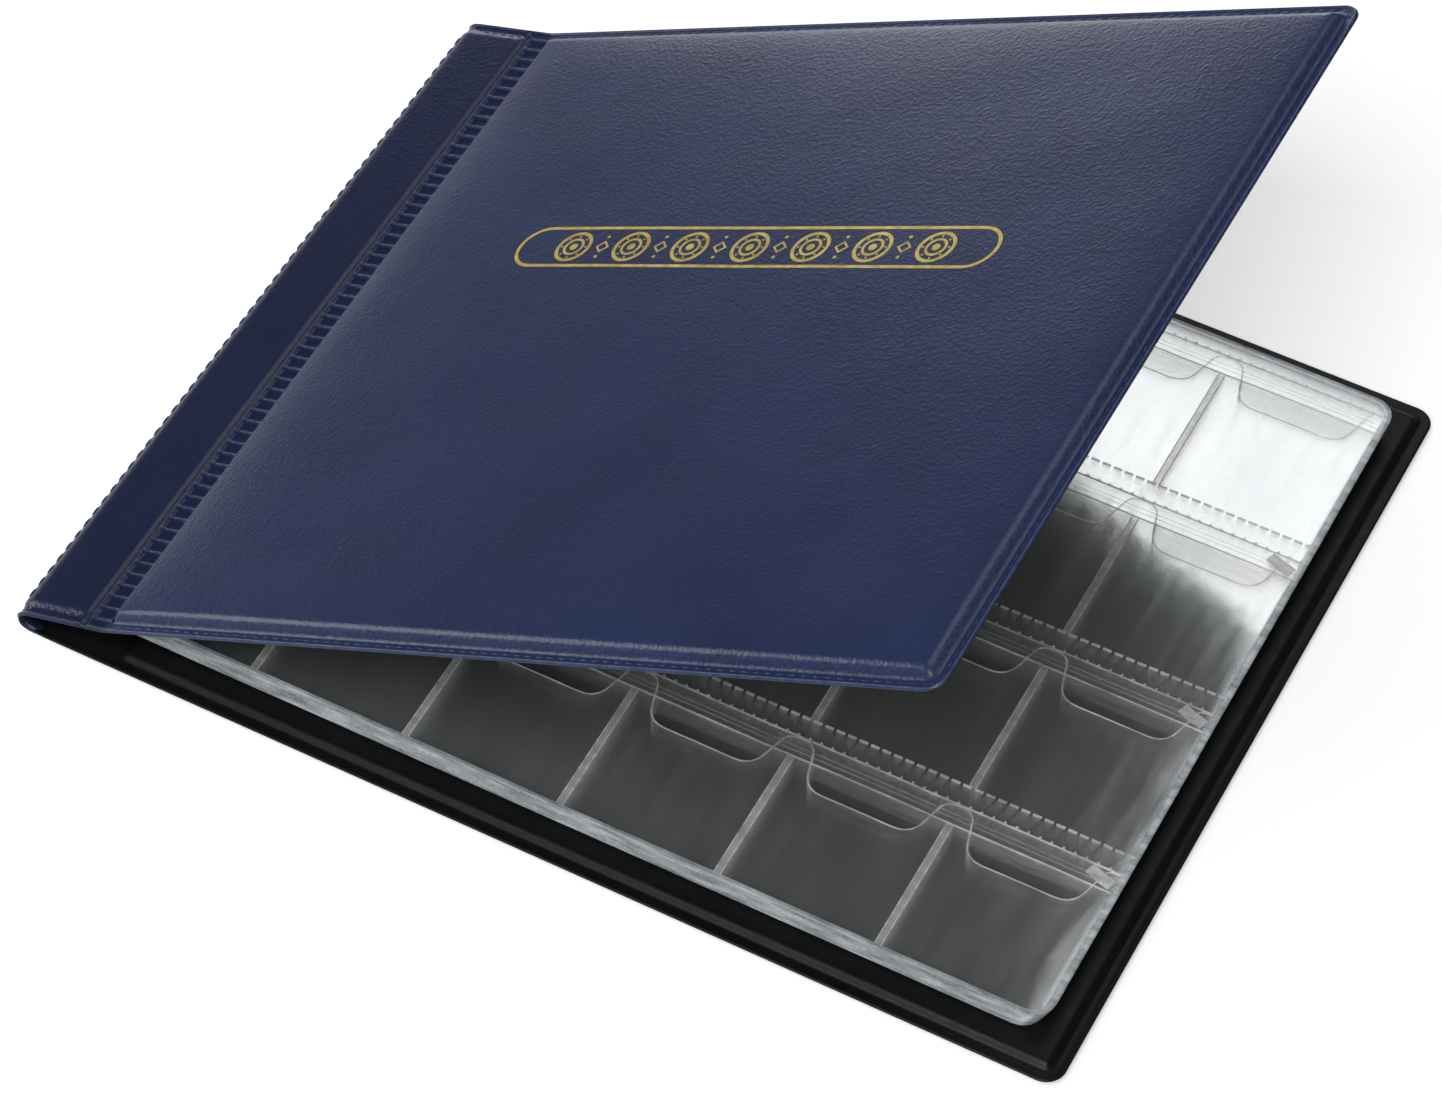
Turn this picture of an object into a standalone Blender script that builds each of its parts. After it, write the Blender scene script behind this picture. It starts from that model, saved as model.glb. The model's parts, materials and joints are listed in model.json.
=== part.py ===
"""A landscape coin album: a padded case with a spine, and ten clear leaves of welded coin pockets.

Metres, +Z up. X runs from the spine fold to the free edge, Y along the spine. The back cover lies flat and
the front cover stands part open. Origin: under the centre of the whole album, on the plane it lies on.
"""

import math

import bmesh
import bpy
from mathutils.geometry import tessellate_polygon

MM = 0.001

# Case
COVER_LENGTH = 212.8 * MM
FREE_EDGE_X = 134.0 * MM
CORNER_RADIUS = 5.0 * MM
CORNER_STEPS = 4
RIM_WIDTH = 3.0 * MM
PAD_SLOPE = 1.6 * MM
SKIN_THICKNESS = 0.45 * MM
LINING_THICKNESS = 0.40 * MM
LAYER_GAP = 0.10 * MM

# Heights across a cover, from the plane in which skin and lining are welded together, outwards
PAD_HEIGHT = 2.20 * MM
FOAM_BASE = 0.75 * MM
BOARD_BASE = -0.90 * MM
LINING_DEPTH = -1.40 * MM
WELD_HALF_GAP = 0.05 * MM
FOAM_INSET = RIM_WIDTH + 1.3 * MM
BOARD_INSET = RIM_WIDTH + 2.2 * MM
HINGE_SIDE_RADIUS = 0.8 * MM
LAYER_RADIUS = 1.0 * MM

# Spine: a flat strip that turns about the fold, and carries the front cover on its welded hinge
FOLD_AXIS = (-131.6 * MM, 4.1 * MM)
FOLD_RADIUS = 2.4 * MM
FOLD_START = math.radians(104.0)
FOLD_END = math.radians(270.0)
FOLD_STEPS = 10
FOLD_CLEARANCE = 0.2 * MM
STRIP_TILT = math.radians(18.0)
STRIP_LENGTH = 24.8 * MM
STRIP_INNER = 2.65 * MM
STRIP_OUTER = 4.30 * MM
STRIP_END_ROOM = 0.9 * MM
HINGE_HEIGHT = 3.5 * MM
HINGE_RADIUS = 0.5 * MM
HINGE_STEPS = 6
CARD_INSET = 2.0 * MM
CARD_END = 19.6 * MM
CARD_BASE = 3.15 * MM
CARD_TOP = 3.75 * MM
BACK_STRIP_WIDTH = 25.0 * MM

# Front cover
FRONT_TILT = math.radians(28.2)
FRONT_LENGTH = 238.3 * MM
HINGE_ROOM = 0.9 * MM
HINGE_RIM = 1.0 * MM

# Gold foil ornament on the front cover: a long ring with round ends
FOIL_CENTRE = (115.0 * MM, 22.5 * MM)
FOIL_LENGTH = 140.0 * MM
FOIL_WIDTH = 14.0 * MM
FOIL_LINE = 0.9 * MM
FOIL_THICKNESS = 0.08 * MM
FOIL_END_STEPS = 10

# Leaves
LEAF_COUNT = 10
LOWER_LEAVES = 5
LEAF_BASE_Z = 4.5 * MM
LEAF_PITCH_Z = 0.66 * MM
SHEET_THICKNESS = 0.20 * MM
POCKET_THICKNESS = 0.15 * MM
POCKET_LIFT = 0.30 * MM
LEAF_HINGE_X = -115.0 * MM
LEAF_NEAR_Y = -97.2 * MM
LEAF_HEIGHT = 195.0 * MM
LEAF_EDGE_X = 126.6 * MM
LEAF_EDGE_STEP = 0.27 * MM
LEAF_START = 0.2 * MM
LEAF_CORNER = 5.5 * MM

# Pockets: columns along X, rows along Y, each with a mouth cut in the front sheet below the row's upper weld.
# The mouth's lip is the top of the humps that stay between the thumb notches
COLUMNS = 6
ROWS = 4
COLUMN_PITCH = 40.0 * MM
ROW_PITCH = 49.2 * MM
FIRST_MOUTH_Y = 42.2 * MM
MOUTH_HEIGHT = 3.6 * MM
NOTCH_DEPTH = 12.1 * MM
NOTCH_CORNER = 4.0 * MM
NOTCH_TOP_WIDTH = 33.0 * MM
NOTCH_SIDE_WIDTH = 27.0 * MM
NOTCH_FLOOR_WIDTH = 19.0 * MM
MOUTH_WIDTH = 36.0 * MM

# Binding: the bound ends of the leaves, welded into two blocks
BINDING_LEFT_X = -126.0 * MM
BINDING_UPPER_LEFT_X = -124.5 * MM
BINDING_RIGHT_X = -115.3 * MM
BINDING_LOWER_Z = (2.80 * MM, 7.70 * MM)
BINDING_UPPER_Z = (8.00 * MM, 8.95 * MM, 11.05 * MM)

COLOURS = {
    "navy": ((0.040, 0.052, 0.130, 1.0), 0.48),
    "lining": ((0.011, 0.012, 0.011, 1.0), 0.38),
    "board": ((0.36, 0.31, 0.24, 1.0), 0.90),
    "foam": ((0.78, 0.77, 0.72, 1.0), 0.95),
    "clear": ((0.82, 0.87, 0.90, 0.35), 0.12),
    "gold": ((0.72, 0.52, 0.20, 1.0), 0.35),
}


def material_for(name, kind):
    """A Principled material of the sub-part's own, in the colour of its kind."""
    colour, roughness = COLOURS[kind]
    made = bpy.data.materials.new(name)
    made.use_nodes = True
    shader = made.node_tree.nodes["Principled BSDF"]
    shader.inputs["Base Color"].default_value = colour
    shader.inputs["Roughness"].default_value = roughness
    shader.inputs["Metallic"].default_value = 1.0 if kind == "gold" else 0.0
    shader.inputs["Alpha"].default_value = colour[3]
    return made


def add_object(name, mesh, kind, parent=None):
    mesh.materials.append(material_for(name, kind))
    made = bpy.data.objects.new(name, mesh)
    bpy.context.scene.collection.objects.link(made)
    made.parent = parent
    return made


def add_axis(name, location, tilt=0.0, parent=None):
    """An empty on a joint's axis, its X along the panel that turns about it."""
    made = bpy.data.objects.new(name, None)
    bpy.context.scene.collection.objects.link(made)
    made.parent = parent
    made.location = location
    made.rotation_euler = (0.0, -tilt, 0.0)
    return made


def mesh_from(name, points, faces):
    mesh = bpy.data.meshes.new(name)
    mesh.from_pydata(points, [], faces)
    work = bmesh.new()
    work.from_mesh(mesh)
    bmesh.ops.recalc_face_normals(work, faces=work.faces)
    if work.calc_volume(signed=True) < 0.0:
        bmesh.ops.reverse_faces(work, faces=work.faces)
    work.to_mesh(mesh)
    work.free()
    return mesh


def arc(centre, radius, start, end, steps):
    points = []
    for step in range(steps + 1):
        angle = start + (end - start) * step / steps
        points.append((centre[0] + radius * math.cos(angle), centre[1] + radius * math.sin(angle)))
    return points


def rounded_rectangle(x_low, x_high, y_low, y_high, radii):
    """An outline, anticlockwise from the low corner, with a radius for each corner (0 keeps it square)."""
    corners = [(x_low, y_low), (x_high, y_low), (x_high, y_high), (x_low, y_high)]
    inward = [(1, 1), (-1, 1), (-1, -1), (1, -1)]
    points = []
    for index, (corner, way, radius) in enumerate(zip(corners, inward, radii)):
        if radius == 0.0:
            points.append(corner)
            continue
        centre = (corner[0] + way[0] * radius, corner[1] + way[1] * radius)
        start = math.pi + index * math.pi / 2
        points.extend(arc(centre, radius, start, start + math.pi / 2, CORNER_STEPS))
    return points


def loft(name, loops):
    """A closed solid through loops of equal length, with the first and the last capped."""
    count = len(loops[0])
    points = [point for loop in loops for point in loop]
    faces = [tuple(range(count)), tuple(range(len(points) - count, len(points)))]
    for row in range(len(loops) - 1):
        for step in range(count):
            here = row * count + step
            beside = row * count + (step + 1) % count
            faces.append((here, beside, beside + count, here + count))
    return mesh_from(name, points, faces)


def plate(name, outline, holes, low, high):
    """A flat sheet in X and Y from height low to high, with holes through it."""
    loops = [outline] + holes
    flat = [[(x, y, 0.0) for x, y in loop] for loop in loops]
    triangles = tessellate_polygon(flat)
    corners = [point for loop in loops for point in loop]
    count = len(corners)
    points = [(x, y, low) for x, y in corners] + [(x, y, high) for x, y in corners]
    faces = [tuple(triangle) for triangle in triangles]
    faces += [tuple(corner + count for corner in reversed(triangle)) for triangle in triangles]
    start = 0
    for loop in loops:
        for step in range(len(loop)):
            here = start + step
            beside = start + (step + 1) % len(loop)
            faces.append((here, beside, beside + count, here + count))
        start += len(loop)
    return mesh_from(name, points, faces)


def bar(name, profile, y_low, y_high):
    """A profile in X and Z, drawn out along Y."""
    return loft(name, [[(x, y_low, z) for x, z in profile], [(x, y_high, z) for x, z in profile]])


def cover_outline(reach, inset):
    """One outline of a cover. reach is (left of the rim, left of the pad, free edge); inset 0 is the rim."""
    x_low = reach[0] if inset < RIM_WIDTH else reach[1] + inset - RIM_WIDTH
    half = COVER_LENGTH / 2 - inset
    outer = max(CORNER_RADIUS - inset, LAYER_RADIUS)
    radii = [HINGE_SIDE_RADIUS, outer, outer, HINGE_SIDE_RADIUS]
    return rounded_rectangle(x_low, reach[2] - inset, -half, half, radii)


def at_height(outline, height):
    return [(x, y, height) for x, y in outline]


def shell(name, reach, rim, pad, thickness):
    """The skin or the lining of a cover: a flat welded rim round a raised pad, open towards the board.

    rim and pad are the outer heights; the thickness goes from them towards the board.
    """
    back = math.copysign(thickness, rim - pad)
    return loft(
        name,
        [
            at_height(cover_outline(reach, RIM_WIDTH + PAD_SLOPE), pad),
            at_height(cover_outline(reach, RIM_WIDTH), rim),
            at_height(cover_outline(reach, 0.0), rim),
            at_height(cover_outline(reach, 0.0), rim + back),
            at_height(cover_outline(reach, RIM_WIDTH + thickness), rim + back),
            at_height(cover_outline(reach, RIM_WIDTH + PAD_SLOPE + thickness), pad + back),
        ],
    )


def slab(name, reach, low_inset, low, high_inset, high):
    """A board or a sheet of foam, which may narrow from its low face to its high one."""
    low_loop = at_height(cover_outline(reach, low_inset), low)
    high_loop = at_height(cover_outline(reach, high_inset), high)
    return loft(name, [low_loop, high_loop])


def build_cover(prefix, reach, outward, parent, place):
    """Skin, foam, board and lining of one cover. outward is 1 where the skin is on top, or -1."""
    skin_rim = outward * (WELD_HALF_GAP + SKIN_THICKNESS)
    lining_rim = -outward * (WELD_HALF_GAP + LINING_THICKNESS)
    foam_top = outward * (PAD_HEIGHT - SKIN_THICKNESS - LAYER_GAP)
    board_top = outward * (FOAM_BASE - LAYER_GAP)
    skin = shell(prefix + "_skin", reach, skin_rim, outward * PAD_HEIGHT, SKIN_THICKNESS)
    foam = slab(prefix + "_foam", reach, FOAM_INSET, outward * FOAM_BASE, FOAM_INSET + PAD_SLOPE, foam_top)
    board = slab(prefix + "_board", reach, BOARD_INSET, outward * BOARD_BASE, BOARD_INSET, board_top)
    lining = shell(prefix + "_lining", reach, lining_rim, outward * LINING_DEPTH, LINING_THICKNESS)
    for mesh, kind in ((skin, "navy"), (foam, "foam"), (board, "board"), (lining, "lining")):
        add_object(mesh.name, mesh, kind, parent).location = place


def build_back_cover():
    left = FOLD_AXIS[0]
    reach = (left + FOLD_CLEARANCE, left + BACK_STRIP_WIDTH, FREE_EDGE_X)
    build_cover("back_cover", reach, -1.0, None, (0.0, 0.0, PAD_HEIGHT))


def build_fold():
    """The skin and the lining where the case turns up round the back of the leaves."""
    for name, kind, outer, thickness in (
        ("spine_fold_skin", "navy", FOLD_RADIUS, SKIN_THICKNESS),
        ("spine_fold_lining", "lining", FOLD_RADIUS - SKIN_THICKNESS - LAYER_GAP, LINING_THICKNESS),
    ):
        profile = arc(FOLD_AXIS, outer, FOLD_START, FOLD_END, FOLD_STEPS)
        profile += arc(FOLD_AXIS, outer - thickness, FOLD_END, FOLD_START, FOLD_STEPS)
        half = COVER_LENGTH / 2
        add_object(name, bar(name, profile, -half, half), kind)


def build_spine(fold_axis):
    """The spine strip, in the frame of the fold's axis with X along the strip."""
    half = COVER_LENGTH / 2
    end = STRIP_LENGTH - STRIP_END_ROOM
    skin_inner = STRIP_OUTER - SKIN_THICKNESS
    hinge = (STRIP_LENGTH, HINGE_HEIGHT)
    nose = arc(hinge, HINGE_RADIUS, -math.pi / 2, math.pi / 2, HINGE_STEPS)
    skin = [(0.0, skin_inner), (end - 1.0 * MM, skin_inner), (end, HINGE_HEIGHT - HINGE_RADIUS)]
    skin += nose
    skin += [(end - 1.0 * MM, STRIP_OUTER), (0.0, STRIP_OUTER)]
    add_object("spine_skin", bar("spine_skin", skin, -half, half), "navy", fold_axis)
    card = [(CARD_INSET, CARD_BASE), (CARD_END, CARD_BASE), (CARD_END, CARD_TOP), (CARD_INSET, CARD_TOP)]
    reach = half - CARD_INSET
    add_object("spine_stiffener", bar("spine_stiffener", card, -reach, reach), "board", fold_axis)
    lining_top = STRIP_INNER + LINING_THICKNESS
    lining_end = end - 1.0 * MM
    lining = [(0.0, STRIP_INNER), (lining_end, STRIP_INNER), (lining_end, lining_top), (0.0, lining_top)]
    add_object("spine_lining", bar("spine_lining", lining, -half, half), "lining", fold_axis)


def build_front_cover(hinge_axis):
    reach = (HINGE_ROOM, HINGE_ROOM + HINGE_RIM, FRONT_LENGTH)
    build_cover("front_cover", reach, 1.0, hinge_axis, (0.0, 0.0, 0.0))
    centre_x, centre_y = FOIL_CENTRE
    outline = stadium(FOIL_LENGTH, FOIL_WIDTH)
    hole = stadium(FOIL_LENGTH - 2 * FOIL_LINE, FOIL_WIDTH - 2 * FOIL_LINE)
    low = PAD_HEIGHT + LAYER_GAP
    mesh = plate("front_foil", outline, [hole], low, low + FOIL_THICKNESS)
    foil = add_object("front_foil", mesh, "gold", hinge_axis)
    foil.location = (centre_x, centre_y, 0.0)


def stadium(length, width):
    """A long outline with half-round ends, about the origin."""
    radius = width / 2
    reach = length / 2 - radius
    right = arc((reach, 0.0), radius, -math.pi / 2, math.pi / 2, FOIL_END_STEPS)
    left = arc((-reach, 0.0), radius, math.pi / 2, 3 * math.pi / 2, FOIL_END_STEPS)
    return right + left


def build_binding():
    """The bound ends of the leaves: the upper block turns with the spine strip."""
    far = LEAF_NEAR_Y + LEAF_HEIGHT
    low, high = BINDING_LOWER_Z
    lower = [(BINDING_LEFT_X, low), (BINDING_RIGHT_X, low), (BINDING_RIGHT_X, high), (BINDING_LEFT_X, high)]
    add_object("binding_lower", bar("binding_lower", lower, LEAF_NEAR_Y, far), "clear")
    low, left_high, right_high = BINDING_UPPER_Z
    upper = [
        (BINDING_UPPER_LEFT_X, low),
        (BINDING_RIGHT_X, low),
        (BINDING_RIGHT_X, right_high),
        (BINDING_UPPER_LEFT_X, left_high),
    ]
    about_fold = [(x - FOLD_AXIS[0], z - FOLD_AXIS[1]) for x, z in upper]
    block = add_object("binding_upper", bar("binding_upper", about_fold, LEAF_NEAR_Y, far), "clear")
    block.location = (FOLD_AXIS[0], 0.0, FOLD_AXIS[1])


def mouth(column, row):
    """The open mouth of one pocket, with its thumb notch, in the leaf's frame."""
    centre = (column + 0.5) * COLUMN_PITCH
    top = FIRST_MOUTH_Y + MOUTH_HEIGHT + row * ROW_PITCH
    lip = top - MOUTH_HEIGHT
    floor = lip - NOTCH_DEPTH
    steps = [
        (MOUTH_WIDTH / 2, top),
        (NOTCH_TOP_WIDTH / 2, lip),
        (NOTCH_SIDE_WIDTH / 2, floor + NOTCH_CORNER),
        (NOTCH_FLOOR_WIDTH / 2, floor),
    ]
    left = [(centre - reach, y) for reach, y in steps]
    right = [(centre + reach, y) for reach, y in reversed(steps)]
    return left + right


def build_leaf(number):
    """One leaf: a back sheet, and a front sheet whose welds divide it into pockets."""
    base = LEAF_BASE_Z + (number - 1) * LEAF_PITCH_Z
    width = LEAF_EDGE_X - (LEAF_COUNT - number) * LEAF_EDGE_STEP - LEAF_HINGE_X
    axis = add_axis(f"leaf_{number:02d}_axis", (LEAF_HINGE_X, LEAF_NEAR_Y, base))
    outline = rounded_rectangle(LEAF_START, width, 0.0, LEAF_HEIGHT, [0.0, LEAF_CORNER, LEAF_CORNER, 0.0])
    name = f"leaf_{number:02d}_back_sheet"
    add_object(name, plate(name, outline, [], 0.0, SHEET_THICKNESS), "clear", axis)
    holes = [mouth(column, row) for row in range(ROWS) for column in range(COLUMNS)]
    name = f"leaf_{number:02d}_pocket_sheet"
    mesh = plate(name, outline, holes, POCKET_LIFT, POCKET_LIFT + POCKET_THICKNESS)
    add_object(name, mesh, "clear", axis)


def main():
    for old in list(bpy.data.objects):
        bpy.data.objects.remove(old, do_unlink=True)
    build_back_cover()
    build_fold()
    fold_axis = add_axis("fold_axis", (FOLD_AXIS[0], 0.0, FOLD_AXIS[1]), STRIP_TILT)
    build_spine(fold_axis)
    hinge_place = (STRIP_LENGTH, 0.0, HINGE_HEIGHT)
    hinge_axis = add_axis("hinge_axis", hinge_place, FRONT_TILT - STRIP_TILT, fold_axis)
    build_front_cover(hinge_axis)
    build_binding()
    for number in range(1, LEAF_COUNT + 1):
        build_leaf(number)


main()
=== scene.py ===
"""The looks of a padded coin album with ten clear leaves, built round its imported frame.

Metres, +Z up. X runs from the spine fold to the free edge, Y along the spine, as in the frame. Each half of
the case has a frame of its own: u along it and away from its hinge, y along the spine, and h out of the weld
plane, in which its skin and its lining are joined.
"""

import json
import math

import bpy
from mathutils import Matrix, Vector


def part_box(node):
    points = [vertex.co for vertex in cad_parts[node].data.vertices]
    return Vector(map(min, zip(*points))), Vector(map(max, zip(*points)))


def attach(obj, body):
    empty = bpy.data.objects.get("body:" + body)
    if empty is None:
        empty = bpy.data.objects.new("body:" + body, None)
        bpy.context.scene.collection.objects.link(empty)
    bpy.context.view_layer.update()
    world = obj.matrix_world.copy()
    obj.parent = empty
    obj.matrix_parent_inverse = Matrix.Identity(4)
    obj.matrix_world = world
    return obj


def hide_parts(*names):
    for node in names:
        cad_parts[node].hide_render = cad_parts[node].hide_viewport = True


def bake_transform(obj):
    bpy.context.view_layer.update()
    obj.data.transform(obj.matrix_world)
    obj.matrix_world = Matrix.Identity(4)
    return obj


MM = 0.001

# Case: heights are over the weld plane, and places along a half are from its ladder hinge
STRIP_TILT = math.radians(18.0)
FRONT_TILT = math.radians(28.2)
CORNER_RADIUS = 5.0 * MM
SKIN_THICKNESS = 0.42 * MM
LINING_THICKNESS = 0.36 * MM
PAD_HEIGHT = 2.2 * MM
PAD_CROWN = 1.0 * MM
CROWN_START = 2.5 * MM
CROWN_REACH = 8.0 * MM
STRIP_HEIGHT = 0.80 * MM
GROOVE_HEIGHT = 0.28 * MM
LADDER_FLOOR = 0.08 * MM
RIM_WIDTH = 2.45 * MM
LIP_HEIGHT = 0.36 * MM
LIP_INSET = 0.55 * MM
LIP_WIDTH = 0.34 * MM
SHOULDER_END = 4.1 * MM
# Width of the lighter band on the lip: partly rubbed wear, partly painted highlight
WEAR_AND_HIGHLIGHT_WIDTH = 0.4 * MM
LINING_PAD = 1.4 * MM
LINING_RIM = 0.26 * MM
LINING_STRIP_BACK = 0.45 * MM
LINING_STRIP_FRONT = 0.85 * MM
LADDER_START = -4.6 * MM
LADDER_END = 1.2 * MM
HALVES_MEET = -5.0 * MM
FOAM_START = 3.2 * MM
FOLD_START_X = -126.0 * MM
FOLD_STEPS = 22
RUNG_PITCH = 3.7 * MM
RUNG_HEIGHT = 0.68 * MM
RUNG_HALF_WIDTH = 0.66 * MM
RUNG_STEPS = 7
RUNG_SECTION = ((-0.85, 0.0), (-0.55, 0.72), (-0.18, 1.0), (0.18, 1.0), (0.55, 0.72), (0.85, 0.0))
STITCH_PITCH = 3.1 * MM
STRIP_STITCH_PITCH = 2.5 * MM
FOLD_STITCH_PITCH = 3.9 * MM
FOLD_STITCH_PLACE = 0.74
GRID_PITCH = 4.0 * MM
STRIP_PITCH = 2.6 * MM
PATH_PITCH = 2.0 * MM
DENSE_END = 5.5 * MM
DENSE_PITCH = 0.35 * MM
EASING_END = 18.0 * MM
EASING_PITCH = 1.8 * MM

# A grid's lines by their distance from an edge, in millimetres: close together over the rim and the shoulder
EDGE_INSETS = (
    (0.0, 0.10, 0.25, 0.42, 0.62, 0.85, 1.15, 1.6, 2.1, 2.5, 2.8)
    + (3.1, 3.45, 3.85, 4.35, 5.0, 6.0, 7.5, 9.5, 12.0, 15.0, 18.5)
)

# Leaves: places in y are from the near edge, for the first row of pockets
LEAF_COUNT = 10
BLOCK_LEAVES = 5
COLUMNS = 6
ROWS = 4
COLUMN_PITCH = 40.0 * MM
ROW_PITCH = 49.2 * MM
UPPER_WELD_Y = 47.9 * MM
LOWER_WELD_Y = 42.5 * MM
HUMP_TOP_Y = 42.2 * MM
FLAP_EDGE_Y = 37.0 * MM
NOTCH_FLOOR_Y = 30.1 * MM
NOTCH_TOP_HALF = 16.5 * MM
NOTCH_FLOOR_HALF = 13.3 * MM
NOTCH_RADIUS = 6.0 * MM
HUMP_RADIUS = 3.4 * MM
DASH_PITCH = 2.9 * MM
DASH_SIZE = (2.2 * MM, 0.75 * MM)
TICK_SIZE = (0.6 * MM, 0.9 * MM)
LEAF_CORNER = 5.5 * MM
BACK_LIFT = 0.10 * MM
POCKET_LIFT = 0.34 * MM
FLAP_LIFT = 0.47 * MM
SEAM_WIDTH = 1.9 * MM
FILM_MARGIN = 0.4 * MM
POCKET_STEPS = 7
FILM_SWAY = 0.20 * MM
TOP_BULGE = 0.34 * MM
LOWER_BULGE = 0.09 * MM
MARGIN_NEAR = 1.0 * MM
MARGIN_FAR = 1.5 * MM
MARGIN_FREE = 1.7 * MM
MARGIN_PITCH = 6.0 * MM

# The margin's section, as (share of the way in from the leaf's edge, lift)
MARGIN_SECTION = (
    (0.12, 0.02 * MM),
    (1.0, 0.06 * MM),
    (1.0, 0.44 * MM),
    (0.12, 0.50 * MM),
    (0.0, 0.40 * MM),
    (0.0, 0.12 * MM),
)

# The welds across a row, as (place in y, width, index of the material)
ROW_LINES = (
    (LOWER_WELD_Y, 0.55 * MM, 1),
    (39.8 * MM, 0.28 * MM, 2),
    (38.6 * MM, 0.28 * MM, 2),
    (FLAP_EDGE_Y, 0.5 * MM, 1),
)

# Binding blocks: how high the upper one is at the fold, and how far its tongues' ends are pinched
UPPER_BLOCK_EDGE = 0.95 * MM
BLOCK_ROUND = 0.3 * MM

# A crease at the free end of a row's welds, in millimetres
PUCKER = ((232.6, 40.9), (234.0, 40.4), (236.0, 39.6), (237.6, 39.3), (239.0, 38.7))

# Ornament on the cover
FOIL_U = 115.0 * MM
FOIL_Y = 22.5 * MM
FOIL_LENGTH = 140.0 * MM
FOIL_WIDTH = 14.0 * MM
FOIL_LINE = 0.95 * MM
FOIL_LIFT = 0.05 * MM
FOIL_DEPTH = 0.03 * MM
COIN_COUNT = 7
COIN_PITCH = 17.6 * MM
PEARL_COUNT = 8
PEARL_RING = 3.55 * MM
DOT_Y = 3.4 * MM

# Camera and light: a softbox is its name, azimuth, elevation, distance, size and radiance
CAMERA_TARGET = Vector((3.5 * MM, -15.5 * MM, 11.0 * MM))
CAMERA_AZIMUTH = math.radians(27.888)
CAMERA_ELEVATION = math.radians(52.523)
CAMERA_DISTANCE = 1131.8 * MM
CAMERA_LENS = 121.1
SOFTBOXES = (
    ("softbox_high", 112.0, 60.0, 1.7, (1.3, 0.95), 1.6),
    ("softbox_low", 116.0, 3.0, 1.14, (0.85, 0.20), 5.6),
    ("softbox_left", 192.0, 20.0, 1.3, (0.70, 0.40), 5.5),
    ("softbox_front", 245.0, 42.0, 1.5, (0.7, 0.4), 2.4),
    ("softbox_above", -78.0, 57.0, 1.8, (0.8, 0.8), 8.6),
)
WORLD_STRENGTH = 0.06
FLOOR_REACH = 4.0
FLOOR_DROP = 0.2 * MM

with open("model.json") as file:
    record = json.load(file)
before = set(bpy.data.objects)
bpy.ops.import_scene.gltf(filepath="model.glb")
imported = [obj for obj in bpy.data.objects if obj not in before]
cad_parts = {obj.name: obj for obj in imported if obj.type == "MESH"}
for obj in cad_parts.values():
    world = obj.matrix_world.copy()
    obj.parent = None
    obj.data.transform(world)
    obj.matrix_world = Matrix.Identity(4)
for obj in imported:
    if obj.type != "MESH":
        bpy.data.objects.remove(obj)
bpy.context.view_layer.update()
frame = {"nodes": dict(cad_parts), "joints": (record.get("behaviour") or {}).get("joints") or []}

JOINTS = {joint["name"]: joint for joint in frame["joints"]}
FOLD = Vector(JOINTS["spine_hinge"]["pos_m"])
HINGE = Vector(JOINTS["front_hinge"]["pos_m"])
COVER_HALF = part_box("back_cover_skin")[1].y
FREE_EDGE_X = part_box("back_cover_skin")[1].x
WELD_Z = (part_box("back_cover_skin")[1].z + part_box("back_cover_lining")[0].z) / 2
STRIP_ALONG = Vector((math.cos(STRIP_TILT), 0.0, math.sin(STRIP_TILT)))
STRIP_OUT = Vector((-math.sin(STRIP_TILT), 0.0, math.cos(STRIP_TILT)))
FRONT_ALONG = Vector((math.cos(FRONT_TILT), 0.0, math.sin(FRONT_TILT)))
FRONT_OUT = Vector((-math.sin(FRONT_TILT), 0.0, math.cos(FRONT_TILT)))
STRIP_LENGTH = (HINGE - FOLD).dot(STRIP_ALONG)
FRONT_LENGTH = (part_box("front_cover_skin")[1].x - HINGE.x) / FRONT_ALONG.x
BACK_ZERO_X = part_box("back_cover_foam")[0].x - FOAM_START
BACK_LENGTH = FREE_EDGE_X - BACK_ZERO_X


# ---------------------------------------------------------------- materials


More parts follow.
